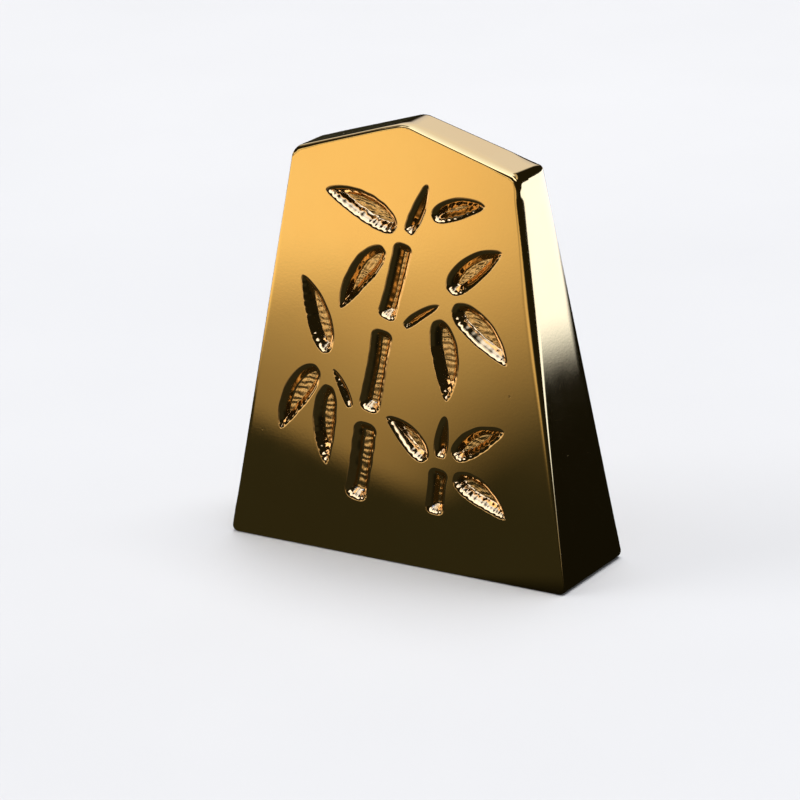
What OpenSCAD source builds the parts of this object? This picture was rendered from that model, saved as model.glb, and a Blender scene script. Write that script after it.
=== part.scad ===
// A metal shogi piece of rook size, standing on its base.
// A solid brass blank is cut to the five-sided wedge, a leaf-and-stalk ornament
// is milled into both faces, and the whole is nickel plated and then gold plated.
// Frame: origin at the middle of the base, +Z up, the ornamented face towards -Y.
// Face coordinates: u runs to the right, v runs up the leaning face from its foot.

/* [Outline] */
// Height of the piece from its base to the ridge, before the ridge is eased (mm)
height = 31.1; // [29:0.1:33]
// Width across the base (mm)
base_w = 27.4; // [25.5:0.1:29]
// Width across the two shoulders (mm)
shoulder_w = 18; // [17:0.1:19.5]
// How far the ridge stands above the shoulders (mm)
roof_rise = 2.67; // [1.8:0.01:3.6]

/* [Thickness] */
// Thickness at the base (mm)
base_t = 8.55; // [7.5:0.05:10]
// Thickness at the ridge (mm)
ridge_t = 3.15; // [2.8:0.05:4.2]

/* [Eased edges] */
// Depth taken off the edges between a face and the two flanks (mm)
flank_ease = 0.14; // [0.05:0.01:0.2]
// Depth taken off the edges between a face and the roof (mm)
roof_ease = 0.15; // [0.05:0.01:0.2]
// Depth taken off the edges between a face and the base (mm)
foot_ease = 0.08; // [0.04:0.01:0.15]
// Depth taken off the edges between a flank and the base (mm)
heel_ease = 0.2; // [0.05:0.01:0.3]
// Depth taken off the shoulder edges (mm)
shoulder_ease = 0.12; // [0.02:0.01:0.2]
// Depth taken off the ridge (mm)
ridge_ease = 0.1; // [0.02:0.01:0.15]

/* [Ornament] */
// Depth of the milled strokes below the face (mm)
cut_depth = 0.65; // [0.3:0.05:0.9]
// Half width of a stroke at its blunt ends, the nose of the cutter (mm)
nose = 0.08; // [0.05:0.01:0.12]

/* [Plating] */
// Thickness of the gold layer (mm)
gold_t = 0.02; // [0.01:0.01:0.04]
// Thickness of the nickel layer under the gold (mm)
nickel_t = 0.02; // [0.01:0.01:0.04]

/* [Hidden] */

shoulder_h = height - roof_rise;
lean = atan((base_t - ridge_t) / 2 / height);
// The ornament keeps its share of the face when the outline changes
fit = min(height / 31.1, base_w / 27.4, shoulder_w / 18);

// Outward unit normal and distance from the origin of each flat face
function face(n, p) = let (m = n / norm(n)) [m, m * p];
run = (base_w - shoulder_w) / 2;
foot = face([0, 0, -1], [0, 0, 0]);
right = face([shoulder_h, 0, run], [base_w / 2, 0, 0]);
left = face([-shoulder_h, 0, run], [-base_w / 2, 0, 0]);
roof_right = face([roof_rise, 0, shoulder_w / 2], [0, 0, height]);
roof_left = face([-roof_rise, 0, shoulder_w / 2], [0, 0, height]);
front = face([0, -cos(lean), sin(lean)], [0, -base_t / 2, 0]);
back = face([0, cos(lean), sin(lean)], [0, base_t / 2, 0]);

// The flat that eases the edge where two faces meet
function eased(a, b, depth) =
    let (s = a[0] + b[0]) [s / norm(s), (a[1] + b[1]) / norm(s) - depth];

planes = concat(
    [foot, right, left, roof_right, roof_left, front, back],
    [for (f = [front, back], s = [right, left]) eased(f, s, flank_ease)],
    [for (f = [front, back], s = [roof_right, roof_left]) eased(f, s, roof_ease)],
    [for (f = [front, back]) eased(f, foot, foot_ease)],
    [for (s = [right, left]) eased(s, foot, heel_ease)],
    [eased(right, roof_right, shoulder_ease), eased(left, roof_left, shoulder_ease)],
    [eased(roof_right, roof_left, ridge_ease)]
);

// Everything on the outer side of a plane, moved in by d
module beyond(p, d)
    rotate([0, acos(p[0][2]), atan2(p[0][1], p[0][0])])
        translate([-60, -60, p[1] - d]) cube(120);

// The plain five-sided wedge, with every face moved in by d
module wedge(d) difference() {
    translate([-base_w, -base_t, -1]) cube([2 * base_w, 2 * base_t, height + 2]);
    for (p = planes) beyond(p, d);
}

// Half width along a stroke, as a share of its widest half width
LEAF = [[0, 0.1], [0.07, 0.55], [0.2, 0.9], [0.36, 1], [0.56, 0.86], [0.8, 0.45], [1, 0]];
CANE = [[0, 0.5], [0.06, 1], [0.3, 0.9], [0.7, 0.9], [0.94, 1], [1, 0.5]];
TWIG = [[0, 0.6], [0.15, 1], [0.7, 0.7], [1, 0]];

// Ornament of the front face, one row a stroke:
// profile, start [u, v], end [u, v], bow to the left of its run, widest half width
FRONT = [
    // tall cane, foot to top
    [CANE, [-3.3, 4.0], [-2.5, 9.8], -0.05, 0.92],
    [CANE, [-2.35, 10.5], [-1.3, 16.6], -0.06, 0.84],
    [CANE, [-1.1, 17.3], [0.25, 22.9], -0.06, 0.74],
    [TWIG, [0.5, 23.6], [2.0, 27.2], -0.12, 0.5],
    // right spray
    [TWIG, [0.4, 17.0], [3.2, 18.9], 0.12, 0.3],
    [LEAF, [3.9, 19.9], [8.0, 23.2], 0.3, 0.92],
    [LEAF, [4.2, 18.9], [8.6, 15.4], 0.35, 1.0],
    [LEAF, [3.0, 17.9], [3.9, 12.2], 0.35, 1.0],
    // left spray
    [TWIG, [-3.8, 10.6], [-5.3, 13.2], -0.1, 0.3],
    [LEAF, [-5.9, 14.2], [-8.0, 19.6], -0.3, 0.95],
    [LEAF, [-6.5, 13.1], [-9.6, 8.2], -0.4, 1.0],
    [LEAF, [-5.6, 12.0], [-5.7, 6.2], -0.3, 0.9],
    // crown
    [LEAF, [-0.4, 23.7], [-6.2, 25.9], -0.35, 0.98],
    [LEAF, [-1.3, 22.3], [-4.8, 17.6], -0.35, 0.9],
    [LEAF, [2.4, 24.9], [6.6, 26.2], 0.25, 0.72],
    // young cane beside it
    [CANE, [3.2, 4.0], [3.5, 7.4], 0.03, 0.74],
    [TWIG, [3.55, 8.1], [3.9, 11.2], 0.05, 0.5],
    [LEAF, [2.4, 7.7], [-0.9, 10.4], -0.3, 0.8],
    [LEAF, [4.6, 8.3], [8.6, 10.8], 0.3, 0.85],
    [LEAF, [4.6, 6.9], [8.9, 4.6], 0.35, 0.88]
];

// Ornament of the back face, a single cane
BACK = [
    [CANE, [0.4, 4.6], [0.2, 10.4], 0.05, 0.92],
    [CANE, [0.15, 11.1], [0.55, 17.2], -0.05, 0.84],
    [CANE, [0.65, 17.9], [1.6, 23.4], -0.06, 0.72],
    [LEAF, [2.3, 24.2], [7.0, 25.6], 0.35, 0.9],
    [LEAF, [2.8, 22.6], [6.6, 18.2], 0.35, 1.0],
    [LEAF, [0.6, 24.4], [-4.6, 26.0], -0.3, 0.86],
    [LEAF, [-0.6, 18.2], [-5.6, 21.6], -0.3, 0.98],
    [LEAF, [-1.0, 16.8], [-6.6, 14.6], -0.4, 1.0],
    [LEAF, [1.6, 11.4], [7.4, 13.6], 0.35, 1.0],
    [LEAF, [1.7, 10.2], [6.6, 6.2], 0.35, 0.95]
];

function turn_left(v) = [-v[1], v[0]] / norm(v);
// Control point of a stroke's centre line, and the line's point and direction at t
function mid(s) = (s[1] + s[2]) / 2 + turn_left(s[2] - s[1]) * s[3] * 2;
function along(s, t) = (1 - t) * (1 - t) * s[1] + 2 * t * (1 - t) * mid(s) + t * t * s[2];
function heading(s, t) =
    let (h = (1 - t) * (mid(s) - s[1]) + t * (s[2] - mid(s))) h / norm(h);

// One point of a stroke's outline: side is 1 on its left, -1 on its right.
// The outline is grown by d all round, past both ends too.
function edge(s, k, side, d) =
    let (t = s[0][k][0], h = heading(s, t),
         w = max(s[0][k][1] * s[4], nose) * fit + d,
         past = k == 0 ? -d : k == len(s[0]) - 1 ? d : 0)
    along(s, t) * fit + h * past + turn_left(h) * side * w;

module stroke(s, d) {
    last = len(s[0]) - 1;
    polygon(concat([for (k = [0:last]) edge(s, k, -1, d)],
                   [for (k = [last:-1:0]) edge(s, k, 1, d)]));
}

// The cutter's sweep through one face, grown by d on its walls and floor
module milling(strokes, d)
    translate([0, -base_t / 2, 0]) rotate([90 - lean, 0, 0])
        for (s = strokes)
            translate([0, 0, -cut_depth - d]) linear_extrude(cut_depth + d + 1) stroke(s, d);

// The finished piece with every surface moved in by d
module piece(d) difference() {
    wedge(d);
    milling(FRONT, d);
    rotate([0, 0, 180]) milling(BACK, d);
}

// Solid machined blank
module brass_core() color("#b08d3c") piece(gold_t + nickel_t);

// Barrier layer between the brass and the gold
module nickel_underplate() color("#bdb8aa") difference() {
    piece(gold_t);
    piece(gold_t + nickel_t);
}

// Polished gold layer, the surface that is seen
module gold_plate() color("#e2ac55") difference() {
    piece(0);
    piece(gold_t);
}

brass_core();
nickel_underplate();
gold_plate();
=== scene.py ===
import math

import bpy
import numpy as np
from mathutils import Matrix, Vector
from mathutils.geometry import delaunay_2d_cdt


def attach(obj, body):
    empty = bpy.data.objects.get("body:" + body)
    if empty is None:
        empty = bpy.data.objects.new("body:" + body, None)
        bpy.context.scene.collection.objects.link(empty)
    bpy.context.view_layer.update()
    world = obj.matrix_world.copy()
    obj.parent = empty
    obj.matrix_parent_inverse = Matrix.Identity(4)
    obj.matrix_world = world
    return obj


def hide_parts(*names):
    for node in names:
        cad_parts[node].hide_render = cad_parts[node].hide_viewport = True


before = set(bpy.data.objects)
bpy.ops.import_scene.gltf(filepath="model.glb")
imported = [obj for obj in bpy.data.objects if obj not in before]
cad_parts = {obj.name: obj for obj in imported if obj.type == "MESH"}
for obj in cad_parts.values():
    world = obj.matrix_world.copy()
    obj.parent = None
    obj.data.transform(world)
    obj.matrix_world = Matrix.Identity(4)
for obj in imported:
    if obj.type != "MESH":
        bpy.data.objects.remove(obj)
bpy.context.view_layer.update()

# A polished, gold plated shogi piece standing on its base.
# All shapes are worked out in millimetres in the part's frame: origin at the middle of the base,
# +Z up, the ornamented front face towards -Y.
MM = 0.001
HEIGHT, BASE_W, SHOULDER_W, RISE, BASE_T, RIDGE_T = 31.1, 27.4, 18.0, 2.67, 8.55, 3.15
SHOULDER_H = HEIGHT - RISE
LEAN = math.atan((BASE_T - RIDGE_T) / 2 / HEIGHT)
CL, SL = math.cos(LEAN), math.sin(LEAN)
CUT = 0.63  # depth of the stroke floors
# Slope of a stroke's wall, in degrees, at these distances from its outline, and the depth that it reaches
WALL_AT, WALL_SLOPE = (0, 0.12, 0.33, 0.42, 1.3), (0, 24, 43, 52, 52)
WALL_X = np.linspace(0, 1.3, 521)
WALL_D = np.concatenate([[0], np.cumsum(np.tan(np.radians(np.interp((WALL_X[1:] + WALL_X[:-1]) / 2, WALL_AT, WALL_SLOPE)))) * 1.3 / 520])
EYE = np.array([127.024, -208.18, 92.626])  # the camera


def smooth(a, b, x):
    t = np.clip((np.asarray(x, float) - a) / (b - a), 0, 1)
    return t * t * (3 - 2 * t)


# ---------------------------------------------------------------- the wedge
def unit(v):
    v = np.asarray(v, float)
    return v / np.linalg.norm(v, axis=-1, keepdims=True)


def half_t(z):
    return BASE_T / 2 - z * math.tan(LEAN)


RUN = (BASE_W - SHOULDER_W) / 2
NF, NB = np.array([0, -CL, SL]), np.array([0, CL, SL])
FLATS = [
    (np.array([0, 0, -1.0]), np.array([0, 0, 0.0])),
    (unit([SHOULDER_H, 0, RUN]), np.array([BASE_W / 2, 0, 0])),
    (unit([RISE, 0, SHOULDER_W / 2]), np.array([0, 0, HEIGHT])),
    (unit([-RISE, 0, SHOULDER_W / 2]), np.array([0, 0, HEIGHT])),
    (unit([-SHOULDER_H, 0, RUN]), np.array([-BASE_W / 2, 0, 0])),
    (NF, np.array([0, -BASE_T / 2, 0])),
    (NB, np.array([0, BASE_T / 2, 0])),
]
PN = np.array([n for n, p in FLATS])
PK = np.array([n @ p for n, p in FLATS])

# How far the edges are polished off, round the outline: foot, right flank, right roof, left roof, left flank.
# Rows of an edge: share of the way along it, reach over the side, reach over the face.
FRONT_EDGE = [
    [(0, 0.22, 0.22), (1, 0.22, 0.22)],
    [(0, 0.26, 0.28), (0.39, 0.5, 0.58), (0.555, 0.66, 0.75), (0.7, 0.8, 0.78), (0.87, 0.9, 0.54), (1, 0.9, 0.5)],
    [(0, 0.9, 0.36), (0.3, 1.1, 0.33), (1, 1.0, 0.31)],
    [(0, 0.5, 0.28), (0.25, 0.36, 0.28), (1, 0.35, 0.32)],
    [(0, 0.42, 0.42), (1, 0.36, 0.36)],
]
BACK_EDGE = [
    [(0, 0.18, 0.18), (1, 0.18, 0.18)],
    [(0, 0.8, 0.15), (0.8, 1.1, 0.16), (1, 1.4, 0.16)],
    [(0, 0.4, 0.2), (1, 0.4, 0.2)],
    [(0, 0.4, 0.2), (1, 0.4, 0.2)],
    [(0, 0.8, 0.2), (1, 0.6, 0.2)],
]
# The same at the corners: left foot, right foot, right shoulder, ridge, left shoulder
FRONT_CORNER = [(0.26, 0.26), (0.22, 0.22), (0.60, 0.45), (0.80, 0.31), (0.40, 0.38)]
BACK_CORNER = [(0.30, 0.20), (0.35, 0.17), (1.10, 0.17), (0.40, 0.20), (0.60, 0.20)]
# Rounding of the outline at these corners, at the front and at the back
PLAN_CORNER = [(0.50, 0.50), (0.50, 0.60), (0.50, 0.28), (0.42, 0.25), (0.62, 0.50)]
CORNER_ROUND = [0, 0, 1, 1, 1]  # how fully the flat of the front face is rounded there
INSET, BEHIND = 1.35, 1.5  # where the fans of rays start: inside the outline, and behind the face


def plan_level(p, r):
    """Distance outside the rounded outline, negative inside."""
    d = p @ PN[:5].T - PK[:5]
    g = np.maximum(d + r[:, None], 0)
    q = np.sqrt((g * g).sum(1))
    return np.where(q > 0, q - r, d.max(1)), unit(np.where(q[:, None] > 0, g, d >= d.max(1)[:, None]) @ PN[:5])


def level(p, par):
    """Negative inside the finished wedge, and the direction of the outline's side there."""
    half = half_t(p[:, 2])
    f = np.clip((p[:, 1] + half) / (2 * half), 0, 1)
    s, side = plan_level(p, par["plan_f"] + (par["plan_b"] - par["plan_f"]) * f)
    rs = np.where(f < 0.5, par["face_f"], par["face_b"])
    a = np.maximum((s + rs) / rs, 0)
    b = np.maximum((p @ NF - PK[5]) / par["side_f"] + 1, 0)
    c = np.maximum((p @ NB - PK[6]) / par["side_b"] + 1, 0)
    e = np.where(f < 0.5, 3.0, 2.0)  # the front edges leave the face more gently
    return (a ** e + b ** e + c ** e) ** (1 / e) - 1, side


def cast(o, d, par):
    """Where rays from inside meet the finished wedge."""
    d = unit(d)
    nd = d @ PN.T
    with np.errstate(divide="ignore", invalid="ignore"):
        hi = np.where(nd > 1e-9, (PK - o @ PN.T) / nd, np.inf).min(1)
    lo = np.zeros(len(o))
    for _ in range(40):
        mid = (lo + hi) / 2
        out = level(o + d * mid[:, None], par)[0] > 0
        hi, lo = np.where(out, mid, hi), np.where(out, lo, mid)
    return o + d * lo[:, None]


def graded(length, fine):
    """Places along an edge, closer together towards its ends."""
    near = [0.1, 0.22, 0.36, 0.52, 0.7, 0.9, 1.15, 1.45, 1.8, 2.2] if fine else [0.5, 1.2]
    step = 0.8 if fine else 2.5
    n = max(2, int(round((length - 2 * near[-1]) / step)))
    return near + [near[-1] + (length - 2 * near[-1]) * k / n for k in range(1, n)] + [length - s for s in near[::-1]]


def perimeter(fine):
    """Samples round the outline: inset point, outward direction, a key that the fan at a corner shares, and the rounding there."""
    n2 = PN[:5][:, [0, 2]]
    k2 = PK[:5] - INSET
    rows = []

    def rounding(i, s, length):
        w0, w1 = 1 - smooth(0, 1.6, s), 1 - smooth(0, 1.0 if i == 1 else 1.6, length - s)
        out = []
        for edge, corner in ((FRONT_EDGE, FRONT_CORNER), (BACK_EDGE, BACK_CORNER)):
            t = np.array(edge[i])
            for c in (0, 1):
                v = np.interp(s / length, t[:, 0], t[:, 1 + c])
                out.append(v * (1 - w0 - w1) + corner[i][c] * w0 + corner[(i + 1) % 5][c] * w1)
        return out + list(PLAN_CORNER[i if s < length / 2 else (i + 1) % 5])

    for i in range(5):
        j, nxt = (i - 1) % 5, (i + 1) % 5
        at = np.linalg.solve(np.array([n2[j], n2[i]]), np.array([k2[j], k2[i]]))
        end = np.linalg.solve(np.array([n2[i], n2[nxt]]), np.array([k2[i], k2[nxt]]))
        a0 = math.atan2(n2[j][1], n2[j][0])
        turn = (math.atan2(n2[i][1], n2[i][0]) - a0 + math.pi) % (2 * math.pi) - math.pi
        m = max(4, int(abs(math.degrees(turn)) / (4.0 if fine else 14)))
        for k in range(m + 1):
            a = a0 + turn * k / m
            over_side, over_face = FRONT_CORNER[i]
            over_face += (INSET - over_face) * (1 - math.cos(abs(turn) * min(k, m - k) / m)) * CORNER_ROUND[i]
            rows.append(((at[0], at[1], math.cos(a), math.sin(a)), ("c", i), [over_side, over_face, *BACK_CORNER[i], *PLAN_CORNER[i]]))
        length = np.linalg.norm(end - at)
        for s in graded(length, fine):
            q = at + (end - at) * s / length
            rows.append(((q[0], q[1], n2[i][0], n2[i][1]), ("e", i, s), rounding(i, s, length)))
    place = np.array([r[0] for r in rows])
    par = dict(zip(("side_f", "face_f", "side_b", "face_b", "plan_f", "plan_b"), np.array([r[2] for r in rows]).T))
    return place.T, [r[1] for r in rows], par


# ---------------------------------------------------------------- the milled ornament
# kind, start [u, v], end [u, v], bow to the left of the run, widest half width
FRONT = [
    ("cane", (-3.3, 4.0), (-2.5, 9.8), -0.05, 0.92),
    ("cane", (-2.35, 10.5), (-1.3, 16.6), -0.06, 0.84),
    ("cane", (-1.1, 17.3), (0.25, 22.9), -0.06, 0.74),
    ("twig", (0.5, 23.6), (2.0, 27.2), -0.12, 0.5),
    ("twig", (0.4, 17.0), (3.2, 18.9), 0.12, 0.3),
    ("leaf", (3.9, 19.9), (8.0, 23.2), 0.3, 0.92),
    ("leaf", (4.2, 18.9), (8.6, 15.4), 0.35, 1.0),
    ("leaf", (3.0, 17.9), (3.9, 12.2), 0.35, 1.0),
    ("twig", (-3.8, 10.6), (-5.3, 13.2), -0.1, 0.3),
    ("leaf", (-5.9, 14.2), (-8.0, 19.6), -0.3, 0.95),
    ("leaf", (-6.5, 13.1), (-9.6, 8.2), -0.4, 1.0),
    ("leaf", (-5.6, 12.0), (-5.7, 6.2), -0.3, 0.9),
    ("leaf", (-0.4, 23.7), (-6.2, 25.9), -0.35, 0.98),
    ("leaf", (-1.3, 22.3), (-4.8, 17.6), -0.35, 0.9),
    ("leaf", (2.4, 24.9), (6.6, 26.2), 0.25, 0.72),
    ("cane", (3.2, 4.0), (3.5, 7.4), 0.03, 0.74),
    ("twig", (3.55, 8.1), (3.9, 11.2), 0.05, 0.5),
    ("leaf", (2.4, 7.7), (-0.9, 10.4), -0.3, 0.8),
    ("leaf", (4.6, 8.3), (8.6, 10.8), 0.3, 0.85),
    ("leaf", (4.6, 6.9), (8.9, 4.6), 0.35, 0.88),
]
BACK = [
    ("cane", (0.4, 4.6), (0.2, 10.4), 0.05, 0.92),
    ("cane", (0.15, 11.1), (0.55, 17.2), -0.05, 0.84),
    ("cane", (0.65, 17.9), (1.6, 23.4), -0.06, 0.72),
    ("leaf", (2.3, 24.2), (7.0, 25.6), 0.35, 0.9),
    ("leaf", (2.8, 22.6), (6.6, 18.2), 0.35, 1.0),
    ("leaf", (0.6, 24.4), (-4.6, 26.0), -0.3, 0.86),
    ("leaf", (-0.6, 18.2), (-5.6, 21.6), -0.3, 0.98),
    ("leaf", (-1.0, 16.8), (-6.6, 14.6), -0.4, 1.0),
    ("leaf", (1.6, 11.4), (7.4, 13.6), 0.35, 1.0),
    ("leaf", (1.7, 10.2), (6.6, 6.2), 0.35, 0.95),
]


def half_width(kind, t, length, widest):
    """Half width along a stroke: a leaf is round at its stem and sharp at its tip, a cane swells at both nodes, a twig tapers."""
    t = np.clip(t, 0, 1)
    if kind == "leaf":
        w = widest * np.sqrt(t) * (1 - t) ** 0.8 / 0.4201
    elif kind == "twig":
        w = widest * t ** 0.34 * (1 - t) ** 0.62 / 0.5405
    else:
        end = 0.9 * widest / length
        nose = lambda x: (1 - (1 - np.clip(x / end, 0, 1)) ** 2.2) ** (1 / 2.2)
        w = widest * (0.9 + 0.1 * (2 * t - 1) ** 4) * nose(t) * nose(1 - t)
    return w + 0.12 * np.sqrt(np.clip(w / 0.2, 0, 1))


class Ripple:
    """Smooth seeded wobble in one or two variables, from 0 to 1."""

    def __init__(self, seed, scale, dims=1, waves=6):
        g = np.random.default_rng(seed)
        self.k = g.normal(size=(waves, dims)) * 2 * math.pi / scale * 0.75
        self.p = g.uniform(0, 2 * math.pi, waves)

    def __call__(self, *x):
        a = sum(np.multiply.outer(v, self.k[:, i]) for i, v in enumerate(x))
        return 0.5 + 0.5 * np.sin(a + self.p).mean(-1) * 1.6


def stroke_mesh(stroke, seed, fine):
    """One milled stroke on the plane h = 0: vertices (u, v, h), faces, outline ids in order, and how much of a vertex is floor."""
    kind, p0, p1, bow, widest = stroke
    p0, p1 = np.array(p0), np.array(p1)
    run = p1 - p0
    length = np.linalg.norm(run)
    ctl = (p0 + p1) / 2 + np.array([-run[1], run[0]]) / length * bow * 2
    n = int(np.clip(length / (0.085 if fine else 0.25), 22 if fine else 12, 84))
    x = np.arange(n + 1) / n
    t = x - 0.72 * np.sin(2 * math.pi * x) / (2 * math.pi)
    mid = ((1 - t) ** 2)[:, None] * p0 + (2 * t * (1 - t))[:, None] * ctl + (t * t)[:, None] * p1
    head = unit((1 - t)[:, None] * (ctl - p0) + t[:, None] * (p1 - ctl))
    left = np.stack([-head[:, 1], head[:, 0]], 1)
    w = half_width(kind, t, length, widest)
    if fine:
        w = w * (0.965 + 0.07 * Ripple(seed + 7, 1.6)(t * length))
    # columns: close together over the lip and wall, even over the floor
    nw, nb = (11, 7) if fine else (6, 2)
    wall = np.minimum(0.70, 0.88 * w[1:n])[:, None]
    e = np.concatenate([wall * (np.arange(nw) / nw) ** 1.2, wall + (w[1:n, None] - wall) * np.linspace(0, 1, nb + 1)], 1)
    off = np.concatenate([w[1:n, None] - e, -(w[1:n, None] - e[:, ::-1])[:, 1:]], 1)
    cols = off.shape[1]
    body = mid[1:n, None, :] + left[1:n, None, :] * off[..., None]
    uv = np.concatenate([mid[:1], body.reshape(-1, 2), mid[n:]])
    vid = lambda j, c: 1 + (j - 1) * cols + c
    last = len(uv) - 1
    outline = [0] + [vid(j, cols - 1) for j in range(1, n)] + [last] + [vid(j, 0) for j in range(n - 1, 0, -1)]
    ring = uv[outline]
    seg = np.roll(ring, -1, 0) - ring
    seg_l = np.linalg.norm(seg, axis=1)
    start = np.concatenate([[0], np.cumsum(seg_l)[:-1]])
    dist, along, faces_up = np.empty(len(uv)), np.empty(len(uv)), np.empty(len(uv))
    for i in range(0, len(uv), 1500):
        q = uv[i:i + 1500, None, :] - ring[None]
        f = np.clip((q * seg[None]).sum(2) / (seg_l ** 2)[None], 0, 1)
        d2 = ((q - f[..., None] * seg[None]) ** 2).sum(2)
        k = d2.argmin(1)
        r = np.arange(len(k))
        dist[i:i + 1500] = np.sqrt(d2[r, k])
        along[i:i + 1500] = start[k] + f[r, k] * seg_l[k]
        faces_up[i:i + 1500] = seg[k, 0] / seg_l[k]
    dist[outline] = 0
    dw = dist
    if fine:
        # flutes left by the cutter on the wall, deepest on the lower walls: cusps stand into the stroke
        g = np.random.default_rng(seed)
        pitch = 0.44 + 0.16 * g.random()
        s = along + 0.16 * Ripple(seed + 1, 1.5)(along)
        cusp = (2 * np.abs((s / pitch) % 1 - 0.5)) ** 2
        keen = (0.016 + 0.075 * smooth(0.3, 0.7, Ripple(seed + 2, 3.2)(along))) * (0.2 + 0.8 * smooth(-0.1, 0.6, faces_up))
        dw = np.clip(dist - keen * cusp * smooth(0.04, 0.22, dist), 0, None)
    depth = np.interp(dw, WALL_X, WALL_D)
    floor = CUT * np.ones(len(uv))
    if fine:
        # passes of the cutter leave low ridges that follow the outline, with a rough line down the middle
        lane = (2 * np.abs(((dist + 0.07 * Ripple(seed + 3, 0.9, 2)(uv[:, 0], uv[:, 1])) / 0.21) % 1 - 0.5)) ** 2
        floor = floor - 0.010 * lane - 0.022 * Ripple(seed + 4, 0.5, 2)(uv[:, 0], uv[:, 1]).clip(0, 1)
    k = 0.05
    hmix = np.clip(0.5 + 0.5 * (floor - depth) / k, 0, 1)
    h = floor * (1 - hmix) + depth * hmix - k * hmix * (1 - hmix)
    h = np.maximum(h, 0)
    h[outline] = 0
    is_floor = smooth(-0.08, 0.1, depth - floor)
    faces = []
    for c in range(cols - 1):
        faces.append((0, vid(1, c), vid(1, c + 1)))
        faces.append((last, vid(n - 1, c + 1), vid(n - 1, c)))
    for j in range(1, n - 1):
        for c in range(cols - 1):
            faces.append((vid(j, c), vid(j + 1, c), vid(j + 1, c + 1), vid(j, c + 1)))
    return np.column_stack([uv, -h]), faces, outline, is_floor


def inside(poly, pts):
    x, y = pts[:, 0], pts[:, 1]
    hit = np.zeros(len(pts), bool)
    a, b = poly, np.roll(poly, -1, 0)
    for (x0, y0), (x1, y1) in zip(a, b):
        cross = (y0 > y) != (y1 > y)
        if y1 != y0:
            hit ^= cross & (x < (x1 - x0) * (y - y0) / (y1 - y0) + x0)
    return hit


def on_face(uvh, back):
    """Face coordinates to the part's frame, in millimetres."""
    u, v, h = uvh[:, 0], uvh[:, 1], uvh[:, 2]
    p = np.column_stack([u, -BASE_T / 2 + v * SL - h * CL, v * CL + h * SL])
    return p * [-1, -1, 1] if back else p


def vertex_normals(points, faces):
    tri = np.array([(f[0], f[i], f[i + 1]) for f in faces for i in range(1, len(f) - 1)])
    m = np.cross(points[tri[:, 1]] - points[tri[:, 0]], points[tri[:, 2]] - points[tri[:, 0]])
    n = np.zeros_like(points)
    for i in range(3):
        np.add.at(n, tri[:, i], m)
    return n


def rim(fine):
    """Rings of points from the flat of the front face over its edge, the side and the back edge to the flat of the back, with normals."""
    (ox, oz, mx, mz), keys, par = perimeter(fine)
    m = len(ox)
    side = np.column_stack([mx, 0 * mx, mz])
    # how far the rounded outline is from the start of each ray
    reach = {}
    for which in ("plan_f", "plan_b"):
        lo, hi = np.full(m, 0.5), np.full(m, 3.0)
        for _ in range(40):
            mid = (lo + hi) / 2
            out = plan_level(np.column_stack([ox + mx * mid, 0 * ox, oz + mz * mid]), par[which])[0] > 0
            hi, lo = np.where(out, mid, hi), np.where(out, lo, mid)
        reach[which] = lo
    turn = np.linspace(0, math.pi / 2, (12 if fine else 5) + 1)
    yf = -half_t(oz) + BEHIND / CL
    loops, kinds = [], []

    def face_rings(nrm, y, over_side, over_face, far, ease):
        c = side @ nrm
        rings = []
        for a in turn:
            A = BEHIND - over_side * (1 - abs(math.cos(a)) ** ease)
            B = far - over_face * (1 - math.sin(a) ** ease)
            d = ((A - c * B) / (1 - c * c))[:, None] * nrm + ((B - c * A) / (1 - c * c))[:, None] * side
            rings.append(cast(np.column_stack([ox, y, oz]), d, par))
        return rings

    front = face_rings(NF, yf, par["side_f"], par["face_f"], reach["plan_f"], 0.8)
    back = face_rings(NB, -yf, par["side_b"], par["face_b"], reach["plan_b"], 1.0)
    strips = 12 if fine else 4
    middle = [cast(np.column_stack([ox, yf * (1 - 2 * k / strips), oz]), side, par) for k in range(1, strips)]
    flat_f = np.column_stack([ox, yf, oz]) + BEHIND * NF
    flat_b = np.column_stack([ox, -yf, oz]) + BEHIND * NB
    loops = [flat_f] + front + middle + back[::-1] + [flat_b]
    grid = np.array(loops)
    n = np.zeros_like(grid)
    ti = np.roll(grid, -1, 1) - np.roll(grid, 1, 1)
    tj = np.zeros_like(grid)
    tj[1:-1] = grid[2:] - grid[:-2]
    n = np.cross(ti, tj)
    n[0] = n[1] = NF
    n[-1] = n[-2] = NB
    for j in range(len(front), len(grid) - len(back)):
        n[j] = level(grid[j], par)[1]
    n = unit(n)
    ref = grid.mean((0, 1))
    n[((grid - ref) * n).sum(2) < 0] *= -1
    return grid, n, keys


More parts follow.
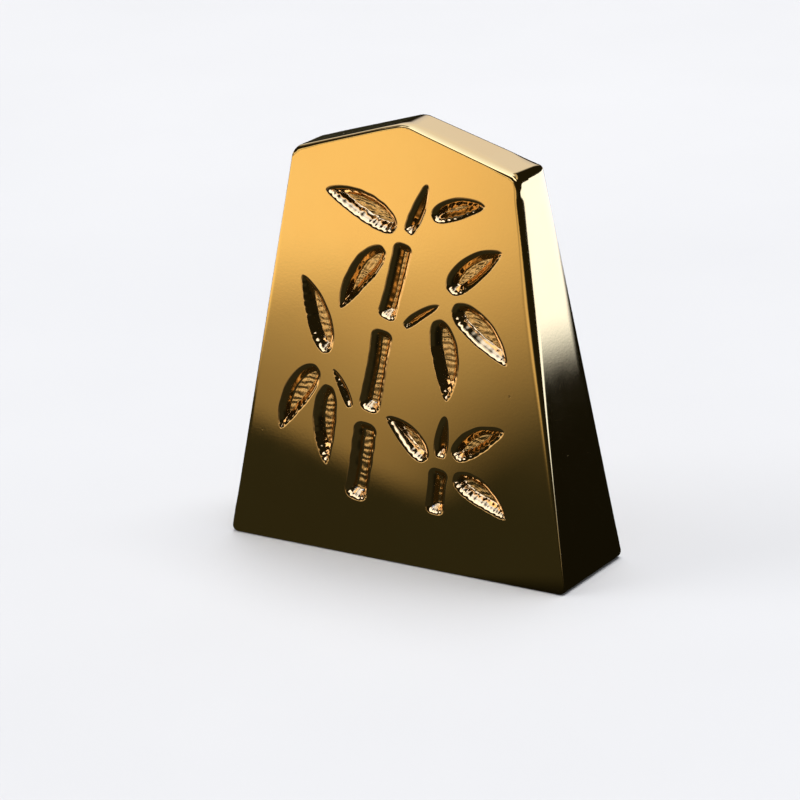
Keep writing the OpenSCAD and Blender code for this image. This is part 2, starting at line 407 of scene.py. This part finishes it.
def piece_surface(fine):
    """The whole closed surface: points (mm), faces, material index of each face, normals, floor weight."""
    grid, gn, keys = rim(fine)
    rings, m = grid.shape[:2]
    points, normals, loops = [], [], []
    for j in range(rings):
        if j in (0, rings - 1):
            ids, known = [], {}
            for i, key in enumerate(keys):
                if key not in known:
                    known[key] = len(points)
                    points.append(grid[j, i])
                    normals.append(gn[j, i])
                ids.append(known[key])
        else:
            ids = list(range(len(points), len(points) + m))
            points.extend(grid[j])
            normals.extend(gn[j])
        loops.append(ids)
    faces, mats = [], []
    for la, lb in zip(loops[:-1], loops[1:]):
        for i in range(m):
            j = (i + 1) % m
            f = [la[i], la[j], lb[j], lb[i]]
            f = [v for k, v in enumerate(f) if v != f[k - 1]]
            faces.append(tuple(f))
            mats.append(0)
    weight = [0.0] * len(points)

    for back, strokes, loop, nrm in ((False, FRONT, loops[0], NF), (True, BACK, loops[-1], NB)):
        edge = list(dict.fromkeys(loop))
        edge_p = np.array([points[i] for i in edge])
        if back:
            edge_p = edge_p * [-1, -1, 1]
        flat = [(p[0], (p[1] + BASE_T / 2) * SL + p[2] * CL) for p in edge_p]
        ids = list(edge)
        bounds = [(i, (i + 1) % len(edge)) for i in range(len(edge))]
        holes = []
        for k, s in enumerate(strokes):
            uvh, sf, outline, is_floor = stroke_mesh(s, 100 * (2 if back else 1) + 11 * k, fine)
            p = on_face(uvh, back)
            base = len(points)
            a, b, c = (p[sf[len(sf) // 2][i]] for i in range(3))
            if np.cross(b - a, c - a) @ nrm < 0:
                sf = [tuple(reversed(f)) for f in sf]
            vn = unit(vertex_normals(p, sf))
            vn[outline] = nrm
            points.extend(p)
            normals.extend(vn)
            weight.extend(is_floor)
            faces.extend(tuple(base + v for v in f) for f in sf)
            mats.extend([1] * len(sf))
            first = len(flat)
            flat.extend((uvh[v, 0], uvh[v, 1]) for v in outline)
            ids.extend(base + v for v in outline)
            bounds.extend((first + i, first + (i + 1) % len(outline)) for i in range(len(outline)))
            holes.append(np.array([uvh[v, :2] for v in outline]))
        out = delaunay_2d_cdt([Vector(q) for q in flat], bounds, [], 1, 1e-7)
        back_to = [o[0] for o in out[3]]
        vv = np.array([(q[0], q[1]) for q in out[0]])
        tri = [tuple(f) for f in out[2]]
        mid = np.array([vv[list(f)].mean(0) for f in tri])
        keep = np.ones(len(tri), bool)
        for hole in holes:
            keep &= ~inside(hole, mid)
        for f, good in zip(tri, keep):
            if good:
                faces.append(tuple(ids[back_to[v]] for v in f))
                mats.append(0)
    points, normals = np.array(points), unit(np.array(normals))
    for i, g in enumerate(faces):
        if mats[i] == 0:
            q = points[list(g)]
            m2 = sum(np.cross(q[k] - q[0], q[k + 1] - q[0]) for k in range(1, len(g) - 1))
            if m2 @ normals[list(g)].sum(0) < 0:
                faces[i] = tuple(reversed(g))
    return points, faces, mats, normals, np.array(weight)


def make_object(name, points, faces, mats, normals, weight, materials):
    mesh = bpy.data.meshes.new(name)
    mesh.from_pydata((points * MM).tolist(), [], [list(f) for f in faces])
    for mat in materials:
        mesh.materials.append(mat)
    mesh.polygons.foreach_set("material_index", np.array(mats if len(materials) > 1 else [0] * len(faces), np.int32))
    mesh.polygons.foreach_set("use_smooth", np.ones(len(faces), bool))
    layer = mesh.attributes.new("floor", "FLOAT", "POINT")
    layer.data.foreach_set("value", weight.astype(np.float32))
    mesh.update()
    mesh.normals_split_custom_set_from_vertices(normals.tolist())
    obj = bpy.data.objects.new(name, mesh)
    bpy.context.scene.collection.objects.link(obj)
    return obj


# ---------------------------------------------------------------- materials
class Nodes:
    """Short hand for building a node tree."""

    def __init__(self, name):
        self.mat = bpy.data.materials.new(name)
        self.mat.use_nodes = True
        self.tree = self.mat.node_tree
        self.tree.nodes.clear()

    def add(self, kind, inputs=None, **props):
        n = self.tree.nodes.new(kind)
        for k, v in props.items():
            setattr(n, k, v)
        for k, v in (inputs or {}).items():
            if isinstance(v, bpy.types.NodeSocket):
                self.tree.links.new(v, n.inputs[k])
            else:
                n.inputs[k].default_value = v
        return n

    def math(self, op, a, b=0.0, clamp=False):
        return self.add("ShaderNodeMath", {0: a, 1: b}, operation=op, use_clamp=clamp).outputs[0]

    def remap(self, x, a, b, c, d):
        return self.add("ShaderNodeMapRange", {"Value": x, "From Min": a, "From Max": b, "To Min": c, "To Max": d}, clamp=True).outputs[0]

    def noise(self, vec, scale, detail=2.0, rough=0.5):
        return self.add("ShaderNodeTexNoise", {"Vector": vec, "Scale": scale, "Detail": detail, "Roughness": rough}).outputs[0]

    def stretch(self, vec, s):
        return self.add("ShaderNodeMapping", {"Vector": vec, "Scale": s}).outputs[0]

    def bump(self, height, distance, normal=None):
        ins = {"Height": height, "Distance": distance, "Strength": 1.0}
        if normal is not None:
            ins["Normal"] = normal
        return self.add("ShaderNodeBump", ins).outputs[0]


def gold_polished():
    """Mirror polish with faint buffing lines, a trace of waviness and grain, and a few dust-sized pits, their colour
    darkened as painted shade.
    """
    n = Nodes("gold_polished")
    pos = n.add("ShaderNodeTexCoord").outputs["Object"]
    mm = n.stretch(pos, (1000, 1000, 1000))
    cloud = n.noise(mm, 0.16, 3.0)
    tone = n.add("ShaderNodeMix", {"Factor": n.remap(cloud, 0.35, 0.65, 0, 1), "A": (1.0, 0.67, 0.262, 1), "B": (1.0, 0.69, 0.278, 1)}, data_type="RGBA")
    # pits: a real dent and rougher polish, and painted shade darkening their colour
    cell = n.add("ShaderNodeTexVoronoi", {"Vector": mm, "Scale": 0.9}, feature="F1")
    rare = n.add("ShaderNodeSeparateColor", {"Color": cell.outputs["Color"]}).outputs[0]
    size = n.remap(rare, 0.86, 1.0, 0.0, 0.075)
    pit = n.remap(n.math("SUBTRACT", size, cell.outputs["Distance"]), 0.0, 0.03, 0, 1)
    # painted shade: the colour is darkened towards brown inside the pits
    dark = n.add("ShaderNodeMix", {"Factor": n.math("MULTIPLY", pit, 0.55), "A": tone.outputs["Result"], "B": (0.30, 0.17, 0.06, 1)}, data_type="RGBA")
    # buffing lines run up and down the faces
    fine = n.noise(n.stretch(mm, (14, 14, 0.35)), 1.0, 3.0, 0.6)
    cross = n.noise(n.stretch(mm, (0.5, 9, 11)), 1.0, 2.0, 0.6)
    wave = n.noise(mm, 0.33, 1.0)
    rough = n.math("ADD", n.remap(n.noise(mm, 0.5, 4.0), 0.3, 0.75, 0.045, 0.075), n.math("MULTIPLY", n.remap(fine, 0.45, 0.8, 0, 1), 0.03))
    rough = n.math("ADD", rough, n.math("MULTIPLY", pit, 0.3))
    b = n.bump(wave, 7e-7)
    b = n.bump(n.noise(mm, 5.5, 2.0, 0.6), 8e-7, b)
    b = n.bump(fine, 2.0e-7, b)
    b = n.bump(cross, 1.1e-7, b)
    b = n.bump(n.math("SUBTRACT", 1.0, pit), 9e-6, b)
    bsdf = n.add("ShaderNodeBsdfPrincipled", {"Base Color": dark.outputs["Result"], "Metallic": 1.0, "Roughness": rough, "Normal": b})
    out = n.add("ShaderNodeOutputMaterial", {"Surface": bsdf.outputs[0]})
    return n.mat


def gold_milled():
    """Inside of the strokes: bright walls, rougher floors with fine marks of the cutter."""
    n = Nodes("gold_milled")
    pos = n.add("ShaderNodeTexCoord").outputs["Object"]
    mm = n.stretch(pos, (1000, 1000, 1000))
    floor = n.add("ShaderNodeAttribute", attribute_name="floor").outputs["Fac"]
    grain = n.noise(mm, 7.0, 4.0, 0.62)
    swirl = n.add("ShaderNodeTexWave", {"Vector": mm, "Scale": 0.8, "Distortion": 5.0, "Detail": 1.5, "Detail Scale": 1.2}, wave_type="RINGS").outputs[1]
    tone = n.add("ShaderNodeMix", {"Factor": n.remap(grain, 0.3, 0.75, 0, 1), "A": (0.90, 0.55, 0.23, 1), "B": (1.0, 0.72, 0.38, 1)}, data_type="RGBA")
    rough = n.math("ADD", n.remap(floor, 0, 1, 0.05, 0.15), n.math("MULTIPLY", grain, 0.06))
    chatter = n.noise(n.stretch(mm, (2.6, 2.6, 2.0)), 1.0, 3.0, 0.55)
    b = n.bump(n.math("MULTIPLY", grain, n.remap(floor, 0, 1, 0.4, 1)), 2.5e-6)
    b = n.bump(n.math("MULTIPLY", swirl, floor), 1.4e-5, b)
    b = n.bump(n.math("MULTIPLY", chatter, floor), 2.2e-5, b)
    bsdf = n.add("ShaderNodeBsdfPrincipled", {"Base Color": tone.outputs["Result"], "Metallic": 1.0, "Roughness": rough, "Normal": b})
    n.add("ShaderNodeOutputMaterial", {"Surface": bsdf.outputs[0]})
    return n.mat


def plain_metal(name, low, high, rough):
    """Hidden layers: a mottled metal."""
    n = Nodes(name)
    pos = n.add("ShaderNodeTexCoord").outputs["Object"]
    mm = n.stretch(pos, (1000, 1000, 1000))
    cloud = n.noise(mm, 0.8, 4.0)
    tone = n.add("ShaderNodeMix", {"Factor": cloud, "A": (*low, 1), "B": (*high, 1)}, data_type="RGBA")
    r = n.remap(n.noise(mm, 3.0, 3.0), 0.3, 0.7, rough, rough + 0.15)
    bsdf = n.add("ShaderNodeBsdfPrincipled", {"Base Color": tone.outputs["Result"], "Metallic": 1.0, "Roughness": r})
    n.add("ShaderNodeOutputMaterial", {"Surface": bsdf.outputs[0]})
    return n.mat


gold_a, gold_b = gold_polished(), gold_milled()
pts, faces, mats, normals, weight = piece_surface(True)
gold = make_object("gold_plate_finish", pts, faces, mats, normals, weight, [gold_a, gold_b])
pts, faces, mats, normals, weight = piece_surface(False)
nickel = make_object("nickel_underplate_layer", pts - 0.05 * normals, faces, mats, normals, weight, [plain_metal("nickel_bright", (0.62, 0.60, 0.55), (0.70, 0.68, 0.63), 0.2)])
brass = make_object("brass_core_blank", pts - 0.10 * normals, faces, mats, normals, weight, [plain_metal("brass_machined", (0.62, 0.42, 0.16), (0.72, 0.52, 0.22), 0.3)])
for piece, node, slot in ((gold, "gold_plate", "gold"), (nickel, "nickel_underplate", "nickel"), (brass, "brass_core", "core_brass")):
    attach(piece, "root")
    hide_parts(node)


# ---------------------------------------------------------------- the studio
def link(obj):
    bpy.context.scene.collection.objects.link(obj)
    return obj


def floor_material():
    n = Nodes("pale_floor")
    pos = n.add("ShaderNodeTexCoord").outputs["Object"]
    cloud = n.noise(n.stretch(pos, (30, 30, 30)), 1.0, 3.0)
    tone = n.add("ShaderNodeMix", {"Factor": cloud, "A": (0.60, 0.60, 0.61, 1), "B": (0.64, 0.64, 0.65, 1)}, data_type="RGBA")
    bsdf = n.add("ShaderNodeBsdfPrincipled", {"Base Color": tone.outputs["Result"], "Roughness": 0.9})
    n.add("ShaderNodeOutputMaterial", {"Surface": bsdf.outputs[0]})
    return n.mat


def glow_material():
    n = Nodes("studio_glow")
    colour = n.add("ShaderNodeAttribute", attribute_name="glow").outputs["Color"]
    e = n.add("ShaderNodeEmission", {"Color": colour, "Strength": 1.0})
    n.add("ShaderNodeOutputMaterial", {"Surface": e.outputs[0]})
    return n.mat


def glow_object(name, verts, faces, colours, mat):
    mesh = bpy.data.meshes.new(name)
    mesh.from_pydata(verts.tolist(), [], faces)
    mesh.materials.append(mat)
    layer = mesh.attributes.new("glow", "FLOAT_COLOR", "POINT")
    layer.data.foreach_set("color", np.column_stack([colours, np.ones(len(colours))]).astype(np.float32).ravel())
    mesh.update()
    obj = link(bpy.data.objects.new(name, mesh))
    for kind in ("camera", "diffuse", "transmission", "volume_scatter", "shadow"):
        setattr(obj, "visible_" + kind, False)
    return obj


WARM, YELLOW, DIM, SOFT, DEEP = (np.array(c) for c in ((1.0, 0.79, 0.465), (0, 0.045, 0.06), (1.0, 1.03, 0.63), (1.0, 0.95, 0.86), (1.0, 0.95, 0.5)))

COOL = np.array([1.05, 1.35, 2.3])
SHADE_PATCH, SHADE_PATCH_TURN = (-80, 100, -16, 75), 33  # left, right, front and back of the dark patch of painted shade in the reflections, in millimetres, and its turn


def wrap(a):
    return (a + 180) % 360 - 180


def window(a, centre, half, soft):
    return 1 - smooth(half, half + soft, np.abs(wrap(a - centre)))


def table_light(x, y):
    """What the polished faces see low down, x and y in millimetres on the table."""
    # painted shade: a dark soft-edged patch under the piece, seen only in reflections, and painted reflections of a
    # table that gets lighter away from it
    r, psi, turn = np.hypot(x, y), np.degrees(np.arctan2(y, x)), math.radians(SHADE_PATCH_TURN)
    a, b = x * math.cos(turn) + y * math.sin(turn), y * math.cos(turn) - x * math.sin(turn)
    away = np.maximum(np.maximum(a - SHADE_PATCH[1], SHADE_PATCH[0] - a), np.maximum(b - SHADE_PATCH[3], SHADE_PATCH[2] - b))
    slow, quick = 0.2 * smooth(-3, 3, away) + 0.75 * smooth(-5, 85, away), smooth(-5, 38, away)
    # pools of soft light: warm in front, cool to the right and behind, neutral elsewhere
    front = window(psi, -146, 24, 18) + 0.7 * smooth(-114, -102, psi) * (1 - smooth(-95, -76, psi)) * smooth(20, 190, r)
    pools = np.multiply.outer(slow * front, WARM) + np.multiply.outer(quick * window(psi, 50, 32, 10), COOL) * 1.15
    pools += np.multiply.outer(quick * (1 - smooth(200, 300, r)) * (0.6 * window(psi, 118, 16, 12) + 0.75 * window(psi, 180, 9, 6) + 0.3 * window(psi, 0, 7, 5)), SOFT)
    # painted shade: a dim base under the pools, dimmer towards the back right; the pools fade out far away
    return np.multiply.outer(0.024 - 0.018 * window(psi, 42, 60, 30), DIM) + (1 - smooth(400, 560, r))[:, None] * pools


def sky_light(d):
    """What the polished faces see above the table, d a unit direction."""
    el, psi = np.degrees(np.arcsin(np.clip(d[:, 2], -1, 1))), np.degrees(np.arctan2(d[:, 1], d[:, 0]))
    # a broad white source high up in front, a column above it and a paler zenith
    wide = smooth(-148, -142, psi) * (1 - smooth(-53, -33, psi)) * smooth(31, 36, el) * (1 - smooth(45, 52, el))
    column = smooth(-126, -121, psi) * (1 - smooth(-100, -55, psi)) * smooth(45, 50, el) * (1 - smooth(66, 80, el))
    zenith = smooth(64, 78, el)
    out = np.multiply.outer(wide, np.array([1.8, 2.0, 2.6]))
    out = np.maximum(out, np.multiply.outer(column, np.array([1.3, 1.6, 2.4])))
    out = np.maximum(out, np.multiply.outer(zenith, np.array([1.0, 1.25, 1.9])))
    # behind: a soft panel for the roof
    back = window(psi, 128, 24, 14) * smooth(14, 22, el) * (1 - zenith)
    level = 0.7 + 0.14 * smooth(22, 34, el) + 0.1 * smooth(34, 64, el)
    out += (back * level)[:, None] * (np.array([0.92, 1.0, 1.30]) + np.multiply.outer(smooth(34, 64, el), np.array([0.03, 0.15, 0.4])))
    horizon = window(psi, -128, 16, 8) * (1 - smooth(2, 6, el))
    out += np.multiply.outer(horizon, np.array([1.05, 0.95, 0.72]))
    left = window(psi, 180, 9, 6) * (1 - smooth(6, 11, el)) * 0.75
    left += window(psi, 180, 16, 10) * smooth(30, 36, el) * (1 - smooth(44, 50, el)) * 0.13
    right = window(psi, 0, 12, 6) * smooth(46, 50, el) * (1 - smooth(57, 62, el)) * 0.6
    right += window(psi, 48, 36, 12) * smooth(42, 50, el) * (1 - zenith) * 0.45
    right += 0.5 * window(psi, 90, 9, 6) * (1 - smooth(1, 4, el))
    out += np.multiply.outer(left + right, SOFT)
    return out + 0.012 * DEEP


glow = glow_material()
# a polar sheet just above the floor, seen only in reflections
rr = np.concatenate([[0.0], np.geomspace(3, 900, 170)])
pp = np.radians(np.arange(0, 360, 1.5))
gx = np.concatenate([[0.0]] + [r * np.cos(pp) for r in rr[1:]])
gy = np.concatenate([[0.0]] + [r * np.sin(pp) for r in rr[1:]])
k = len(pp)
tf = [(0, 1 + i, 1 + (i + 1) % k) for i in range(k)]
for j in range(len(rr) - 2):
    for i in range(k):
        a, b = 1 + j * k + i, 1 + j * k + (i + 1) % k
        tf.append((a, a + k, b + k, b))
table = glow_object("studio_table_glow", np.column_stack([gx, gy, np.full(len(gx), -0.01)]) * MM, tf, table_light(gx, gy), glow)
# a glowing dome far outside, seen only in reflections: painted reflections of soft lights
el = np.radians(np.linspace(-12, 90, 86))
az = np.radians(np.arange(0, 360, 2.5))
dirs = np.array([(math.cos(e) * math.cos(p), math.cos(e) * math.sin(p), math.sin(e)) for e in el for p in az])
k = len(az)
df = [(j * k + i, j * k + (i + 1) % k, (j + 1) * k + (i + 1) % k, (j + 1) * k + i) for j in range(len(el) - 1) for i in range(k)]
dome = glow_object("studio_dome_glow", dirs * 1.4, df, sky_light(dirs), glow)

# pale floor, not mirrored in the piece
mesh = bpy.data.meshes.new("studio_floor")
s = 3.0
mesh.from_pydata([(-s, -s, -2e-5), (s, -s, -2e-5), (s, s, -2e-5), (-s, s, -2e-5)], [], [(0, 1, 2, 3)])
mesh.materials.append(floor_material())
floor = link(bpy.data.objects.new("studio_floor", mesh))
floor.visible_glossy = False


def area(name, at, look, size, power, colour=(1, 1, 1)):
    lamp = bpy.data.lights.new(name, "AREA")
    lamp.shape, lamp.size, lamp.size_y = "RECTANGLE", size[0], size[1]
    lamp.energy, lamp.color = power, colour
    obj = link(bpy.data.objects.new(name, lamp))
    obj.location = at
    obj.rotation_euler = (Vector(look) - Vector(at)).to_track_quat("-Z", "Y").to_euler()
    obj.visible_glossy = False
    return obj


area("studio_top", (0.05, 0.15, 0.9), (0, 0, 0), (0.7, 0.5), 9.0)
area("studio_fill", (-0.7, -0.5, 0.6), (0, 0, 0), (0.6, 0.6), 3.0)

world = bpy.data.worlds.new("studio_world")
bpy.context.scene.world = world
world.use_nodes = True
world.node_tree.nodes["Background"].inputs[0].default_value = (0.93, 0.95, 1.0, 1)
world.node_tree.nodes["Background"].inputs[1].default_value = 0.42
world.cycles_visibility.glossy = False

# ---------------------------------------------------------------- the camera, at the photograph's viewing angle
AZ, EL, ROLL, LENS = math.radians(31.7474), math.radians(18.5535), math.radians(-1.3306), 165.17
back = Vector((math.sin(AZ) * math.cos(EL), -math.cos(AZ) * math.cos(EL), math.sin(EL)))
side = Vector((math.cos(AZ), math.sin(AZ), 0))
up = back.cross(side)
cr = math.cos(ROLL) * side + math.sin(ROLL) * up
cu = -math.sin(ROLL) * side + math.cos(ROLL) * up
cam = bpy.data.cameras.new("camera")
cam.lens, cam.sensor_width, cam.sensor_fit = LENS, 36.0, "AUTO"
cam.clip_start, cam.clip_end = 0.01, 20
cam.dof.use_dof = False
eye = link(bpy.data.objects.new("camera", cam))
m = Matrix((cr, cu, back)).transposed().to_4x4()
m.translation = Vector(EYE) * MM
eye.matrix_world = m
bpy.context.scene.camera = eye
bpy.context.scene.view_settings.view_transform = "Standard"
bpy.context.scene.view_settings.look = "None"
